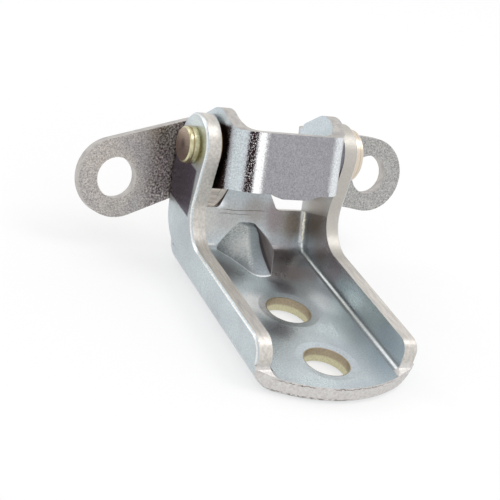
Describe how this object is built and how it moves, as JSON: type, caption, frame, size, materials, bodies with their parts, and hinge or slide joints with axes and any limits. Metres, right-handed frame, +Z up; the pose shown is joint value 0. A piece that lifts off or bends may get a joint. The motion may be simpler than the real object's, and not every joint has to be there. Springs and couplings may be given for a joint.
{
  "type": "car door hinge",
  "caption": "Pressed-steel car door hinge: a channel bracket for the pillar and a pivoting U-shaped door strap with outward tabs, joined by a riveted pin.",
  "frame": {"origin": "on the underside of the pillar bracket's pan, midway between its two bolt holes", "axes": "+Z up off the pan; +X along the hinge pin, towards its head; -Y towards the bracket's bowed near end"},
  "size_m": [0.107, 0.0902, 0.0486],
  "materials": {
    "plated_sheet": "zinc plated, satin",
    "strap_sheet": "zinc plated, fine grain",
    "pin_steel": "yellow passivated",
    "bush_bronze": "sintered, oiled"
  },
  "bodies": {
    "bracket": {"pillar_bracket": "plated_sheet", "hinge_pin": "pin_steel"},
    "strap": {"door_strap": "strap_sheet", "bush_left": "bush_bronze", "bush_right": "bush_bronze"}
  },
  "joints": [
    {"name": "hinge", "type": "hinge", "parent": "bracket", "child": "strap", "pos_m": [0, 0.0479, 0.0366], "axis": [1, 0, 0], "range_deg": [-1.5, 78]}
  ]
}
